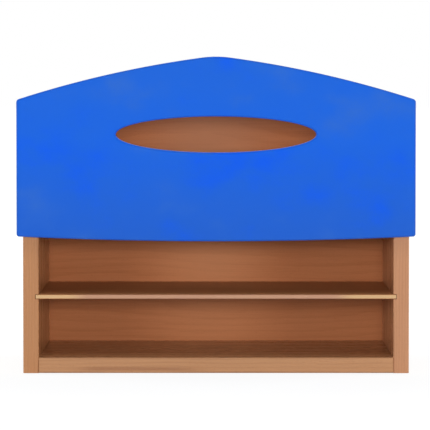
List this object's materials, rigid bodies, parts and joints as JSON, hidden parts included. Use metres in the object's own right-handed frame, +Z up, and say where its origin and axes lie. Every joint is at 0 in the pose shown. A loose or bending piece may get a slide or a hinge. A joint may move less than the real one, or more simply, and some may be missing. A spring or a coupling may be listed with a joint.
{
  "type": "storage shelf",
  "caption": "Small wooden storage shelf with a tall blue pediment-topped front panel, an elliptical hand hole, an open-topped bin behind it and a loose shelf that slides out.",
  "frame": {"origin": "on the floor, at the middle of the base of the box round the whole shelf", "axes": "+Z up, the front faces -Y, +X to the right as seen from the front"},
  "size_m": [0.454, 0.265, 0.3615],
  "materials": {
    "beech": "satin lacquer",
    "shelf_ply": "satin lacquer, paler cut edge",
    "back_ply": "satin lacquer",
    "blue_paint": "satin paint over a wooden board",
    "plug_wood": "end grain, satin lacquer",
    "dowel_wood": "raw",
    "zinc": "zinc plated"
  },
  "bodies": {
    "case": {"left_side": "beech", "right_side": "beech", "bottom_board": "beech", "bin_floor": "beech", "back_panel": "back_ply", "front_panel": "blue_paint", "left_cleat": "beech", "right_cleat": "beech", "bottom_dowels": "dowel_wood", "bin_floor_dowels": "dowel_wood", "bottom_screws": "zinc", "bin_floor_screws": "zinc", "bottom_plugs": "plug_wood", "bin_floor_plugs": "plug_wood", "cleat_screws": "zinc", "panel_screws": "zinc", "back_screws": "zinc"},
    "loose_shelf": {"middle_shelf": "shelf_ply"}
  },
  "joints": [
    {"name": "shelf_slide", "type": "slide", "parent": "case", "child": "loose_shelf", "axis": [0, -1, 0], "range_m": [0, 0.2]}
  ]
}
